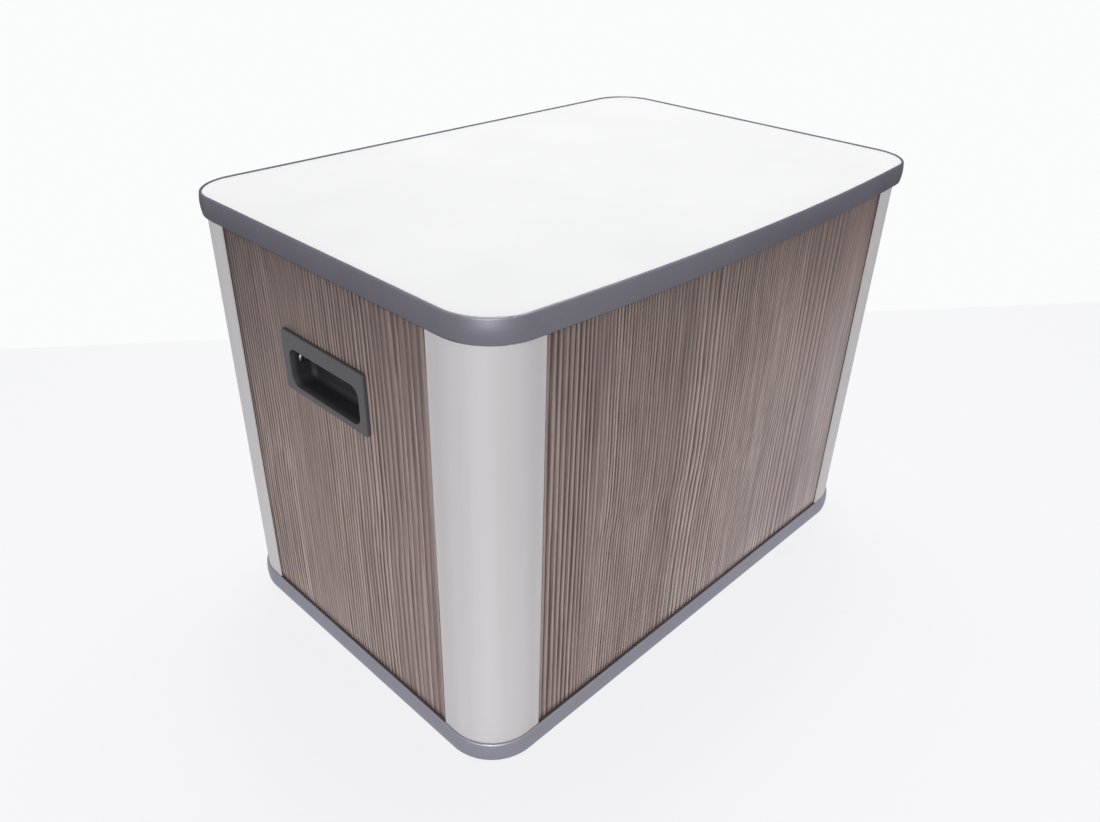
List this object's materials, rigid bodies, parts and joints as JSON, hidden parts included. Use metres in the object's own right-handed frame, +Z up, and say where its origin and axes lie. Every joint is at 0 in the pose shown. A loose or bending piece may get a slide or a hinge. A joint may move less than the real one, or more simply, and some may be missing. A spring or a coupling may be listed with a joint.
{
  "type": "hinged lid storage box",
  "caption": "Rectangular storage box with rounded aluminium corner posts, wood-grain walls, recessed end handles and a flat white bow-fronted lid hinged at the back.",
  "frame": {"origin": "middle of the base board's underside, on the surface that the box stands on", "axes": "+Z up, +X along the long side to the right seen from the front, -Y towards the bowed front edge of the lid"},
  "size_m": [0.5254, 0.362, 0.378],
  "materials": {
    "base_board": "plywood with a dark decor face",
    "edge_moulding": "satin grey flexible plastic",
    "screw_steel": "zinc plated",
    "gasket": "matt black",
    "handle_plastic": "black moulded plastic, fine grain on the flange",
    "bumper": "clear soft plastic disc",
    "hinge_steel": "nickel plated",
    "plywood": "light poplar plywood",
    "white_laminate": "smooth white high-pressure laminate",
    "post_aluminium": "satin anodised, pale champagne silver",
    "wood_decor": "embossed brown-grey wood grain laminate, grain vertical"
  },
  "bodies": {
    "box": {"base_board": "base_board", "base_edge_moulding": "edge_moulding", "base_screws": "screw_steel", "panel_gaskets": "gasket", "left_handle": "handle_plastic", "right_handle": "handle_plastic", "handle_screws": "screw_steel", "lid_bumpers": "bumper", "hinge_body_leaf": "hinge_steel", "hinge_body_screws": "screw_steel", "hinge_pin": "hinge_steel", "front_left_post": "post_aluminium", "front_right_post": "post_aluminium", "back_right_post": "post_aluminium", "back_left_post": "post_aluminium", "front_panel_core": "plywood", "back_panel_core": "plywood", "left_panel_core": "plywood", "right_panel_core": "plywood", "front_panel_laminate": "wood_decor", "back_panel_laminate": "wood_decor", "left_panel_laminate": "wood_decor", "right_panel_laminate": "wood_decor"},
    "lid": {"lid_core": "plywood", "lid_top_laminate": "white_laminate", "lid_under_laminate": "white_laminate", "lid_edge_moulding": "edge_moulding", "hinge_lid_leaf": "hinge_steel", "hinge_lid_screws": "screw_steel"}
  },
  "joints": [
    {"name": "lid_hinge", "type": "hinge", "parent": "box", "child": "lid", "pos_m": [0, 0.17165, 0.35765], "axis": [-1, 0, 0], "range_deg": [0, 140]}
  ]
}
